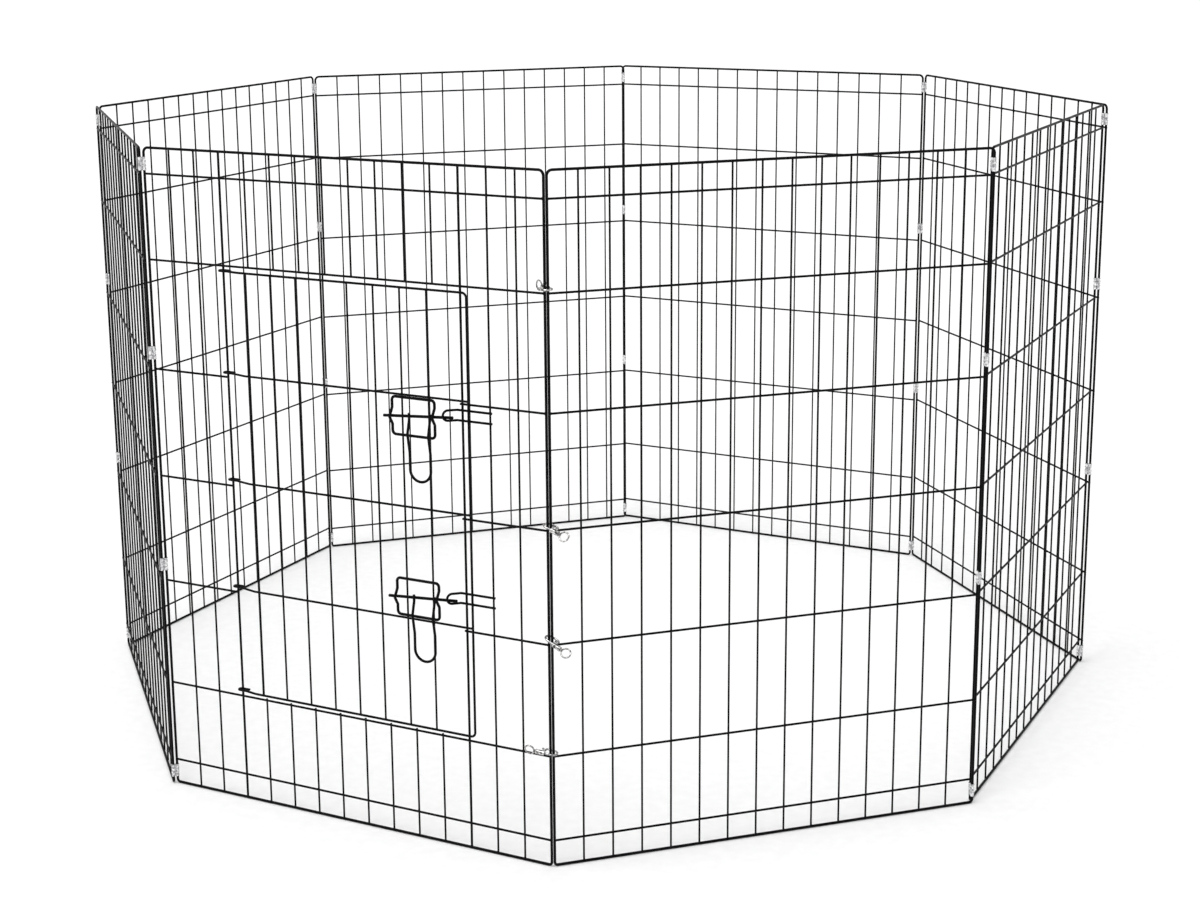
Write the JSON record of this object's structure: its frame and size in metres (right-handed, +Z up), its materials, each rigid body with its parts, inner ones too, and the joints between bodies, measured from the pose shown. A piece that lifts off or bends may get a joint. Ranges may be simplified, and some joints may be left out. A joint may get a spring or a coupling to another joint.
{
  "type": "pet exercise pen",
  "caption": "Folding wire mesh pen: upright panels hinged by clips into a closed ring, a latched swing door in one panel, ends held by snap hooks.",
  "frame": {"origin": "middle of the pen's footprint, on the floor", "axes": "+Z up; the door panel faces -Y, and +X is to the right of someone who faces the door from outside"},
  "size_m": [1.4804, 1.4893, 0.9144],
  "materials": {
    "black_coated_wire": "semi-gloss black epoxy coat over steel wire",
    "zinc_clip": "bright zinc plate on pressed steel",
    "snap_metal": "nickel-plated die casting"
  },
  "bodies": {
    "panel_1": {"panel_1_frame": "black_coated_wire", "panel_1_uprights": "black_coated_wire", "panel_1_crossbars": "black_coated_wire", "panel_1_door_posts": "black_coated_wire", "upper_latch_keeper": "black_coated_wire", "lower_latch_keeper": "black_coated_wire"},
    "panel_2": {"panel_2_frame": "black_coated_wire", "panel_2_uprights": "black_coated_wire", "panel_2_crossbars": "black_coated_wire", "hinge_clips_1": "zinc_clip"},
    "panel_3": {"panel_3_frame": "black_coated_wire", "panel_3_uprights": "black_coated_wire", "panel_3_crossbars": "black_coated_wire", "hinge_clips_2": "zinc_clip", "hinge_clips_3": "zinc_clip"},
    "panel_4": {"panel_4_frame": "black_coated_wire", "panel_4_uprights": "black_coated_wire", "panel_4_crossbars": "black_coated_wire", "hinge_clips_4": "zinc_clip"},
    "panel_5": {"panel_5_frame": "black_coated_wire", "panel_5_uprights": "black_coated_wire", "panel_5_crossbars": "black_coated_wire"},
    "panel_6": {"panel_6_frame": "black_coated_wire", "panel_6_uprights": "black_coated_wire", "panel_6_crossbars": "black_coated_wire", "hinge_clips_5": "zinc_clip"},
    "panel_7": {"panel_7_frame": "black_coated_wire", "panel_7_uprights": "black_coated_wire", "panel_7_crossbars": "black_coated_wire", "hinge_clips_6": "zinc_clip"},
    "panel_8": {"panel_8_frame": "black_coated_wire", "panel_8_uprights": "black_coated_wire", "panel_8_crossbars": "black_coated_wire", "hinge_clips_7": "zinc_clip"},
    "door": {"door_frame": "black_coated_wire", "door_crossbars": "black_coated_wire", "door_uprights": "black_coated_wire", "upper_latch_bracket": "black_coated_wire", "lower_latch_bracket": "black_coated_wire"},
    "upper_bolt": {"upper_latch_bolt": "black_coated_wire"},
    "upper_handle": {"upper_latch_handle": "black_coated_wire"},
    "lower_bolt": {"lower_latch_bolt": "black_coated_wire"},
    "lower_handle": {"lower_latch_handle": "black_coated_wire"},
    "snap_1": {"snap_1_body": "snap_metal"},
    "snap_1_thumb": {"snap_1_thumb_bolt": "snap_metal"},
    "snap_1_eye": {"snap_1_eye": "snap_metal"},
    "snap_2": {"snap_2_body": "snap_metal"},
    "snap_2_thumb": {"snap_2_thumb_bolt": "snap_metal"},
    "snap_2_eye": {"snap_2_eye": "snap_metal"},
    "snap_3": {"snap_3_body": "snap_metal"},
    "snap_3_thumb": {"snap_3_thumb_bolt": "snap_metal"},
    "snap_3_eye": {"snap_3_eye": "snap_metal"},
    "snap_4": {"snap_4_body": "snap_metal"},
    "snap_4_thumb": {"snap_4_thumb_bolt": "snap_metal"},
    "snap_4_eye": {"snap_4_eye": "snap_metal"}
  },
  "joints": [
    {"name": "panel_4_fold", "type": "hinge", "parent": "panel_5", "child": "panel_4", "pos_m": [-0.30156, 0.73842, 0], "axis": [0, 0, 1], "range_deg": [-220, 0]},
    {"name": "panel_3_fold", "type": "hinge", "parent": "panel_4", "child": "panel_3", "pos_m": [-0.72639, 0.30567, 0], "axis": [0, 0, 1], "range_deg": [0, 130]},
    {"name": "panel_2_fold", "type": "hinge", "parent": "panel_3", "child": "panel_2", "pos_m": [-0.73759, -0.30073, 0], "axis": [0, 0, 1], "range_deg": [-220, 0]},
    {"name": "panel_1_fold", "type": "hinge", "parent": "panel_2", "child": "panel_1", "pos_m": [-0.30484, -0.72556, 0], "axis": [0, 0, 1], "range_deg": [0, 130]},
    {"name": "panel_6_fold", "type": "hinge", "parent": "panel_5", "child": "panel_6", "pos_m": [0.30484, 0.73842, 0], "axis": [0, 0, -1], "range_deg": [0, 129]},
    {"name": "panel_7_fold", "type": "hinge", "parent": "panel_6", "child": "panel_7", "pos_m": [0.73759, 0.31359, 0], "axis": [0, 0, -1], "range_deg": [-220, 0]},
    {"name": "panel_8_fold", "type": "hinge", "parent": "panel_7", "child": "panel_8", "pos_m": [0.73199, -0.29281, 0], "axis": [0, 0, -1], "range_deg": [0, 130]},
    {"name": "door_swing", "type": "hinge", "parent": "panel_1", "child": "door", "pos_m": [-0.18356, -0.72356, 0], "axis": [0, 0, 1], "range_deg": [-150, 0]},
    {"name": "upper_bolt_slide", "type": "slide", "parent": "door", "child": "upper_bolt", "axis": [-0.9976, -0.0008, -0.0698], "range_m": [0, 0.022]},
    {"name": "upper_handle_lift", "type": "hinge", "parent": "upper_bolt", "child": "upper_handle", "pos_m": [0.11292, -0.73381, 0.5876], "axis": [-0.9976, -0.0008, -0.0698], "range_deg": [0, 100]},
    {"name": "lower_bolt_slide", "type": "slide", "parent": "door", "child": "lower_bolt", "axis": [-0.9976, -0.0008, -0.0698], "range_m": [0, 0.022]},
    {"name": "lower_handle_lift", "type": "hinge", "parent": "lower_bolt", "child": "lower_handle", "pos_m": [0.11292, -0.73381, 0.3432], "axis": [-0.9976, -0.0008, -0.0698], "range_deg": [0, 100]},
    {"name": "snap_1_swing", "type": "hinge", "parent": "panel_1", "child": "snap_1", "pos_m": [0.30336, -0.7243, 0.766], "axis": [0, 0, 1], "range_deg": [-25, 25]},
    {"name": "snap_1_thumb_slide", "type": "slide", "parent": "snap_1", "child": "snap_1_thumb", "axis": [-0.8572, 0.515, 0], "range_m": [0, 0.004], "stiffness_N_per_m": 150, "springref_m": -0.003},
    {"name": "snap_1_eye_swivel", "type": "hinge", "parent": "snap_1", "child": "snap_1_eye", "pos_m": [0.30692, -0.71839, 0.766], "axis": [-0.8572, 0.515, 0], "continuous": true},
    {"name": "snap_2_swing", "type": "hinge", "parent": "panel_1", "child": "snap_2", "pos_m": [0.30336, -0.7243, 0.4632], "axis": [0, 0, 1], "range_deg": [-25, 15]},
    {"name": "snap_2_thumb_slide", "type": "slide", "parent": "snap_2", "child": "snap_2_thumb", "axis": [0.9565, -0.1344, -0.2588], "range_m": [0, 0.004], "stiffness_N_per_m": 150, "springref_m": -0.003},
    {"name": "snap_2_eye_swivel", "type": "hinge", "parent": "snap_2", "child": "snap_2_eye", "pos_m": [0.3024, -0.73114, 0.4632], "axis": [0.9565, -0.1344, -0.2588], "continuous": true},
    {"name": "snap_3_swing", "type": "hinge", "parent": "panel_1", "child": "snap_3", "pos_m": [0.30336, -0.7243, 0.3131], "axis": [0, 0, 1], "range_deg": [-25, 15]},
    {"name": "snap_3_thumb_slide", "type": "slide", "parent": "snap_3", "child": "snap_3_thumb", "axis": [0.9058, -0.0316, -0.4226], "range_m": [0, 0.004], "stiffness_N_per_m": 150, "springref_m": -0.003},
    {"name": "snap_3_eye_swivel", "type": "hinge", "parent": "snap_3", "child": "snap_3_eye", "pos_m": [0.30312, -0.7312, 0.3131], "axis": [0.9058, -0.0316, -0.4226], "continuous": true},
    {"name": "snap_4_swing", "type": "hinge", "parent": "panel_1", "child": "snap_4", "pos_m": [0.30336, -0.7243, 0.1584], "axis": [0, 0, 1], "range_deg": [0, 25]},
    {"name": "snap_4_thumb_slide", "type": "slide", "parent": "snap_4", "child": "snap_4_thumb", "axis": [-0.9851, -0.121, 0.1219], "range_m": [0, 0.004], "stiffness_N_per_m": 150, "springref_m": -0.003},
    {"name": "snap_4_eye_swivel", "type": "hinge", "parent": "snap_4", "child": "snap_4_eye", "pos_m": [0.3042, -0.73115, 0.1584], "axis": [-0.9851, -0.121, 0.1219], "continuous": true}
  ],
  "couplings": [
    {"joint": "panel_4_fold", "follows": "panel_6_fold", "ratio": -1.6977},
    {"joint": "panel_3_fold", "follows": "panel_6_fold", "ratio": 1},
    {"joint": "panel_2_fold", "follows": "panel_6_fold", "ratio": -1.6977},
    {"joint": "panel_1_fold", "follows": "panel_6_fold", "ratio": 1},
    {"joint": "panel_7_fold", "follows": "panel_6_fold", "ratio": -1.6977},
    {"joint": "panel_8_fold", "follows": "panel_6_fold", "ratio": 1}
  ]
}
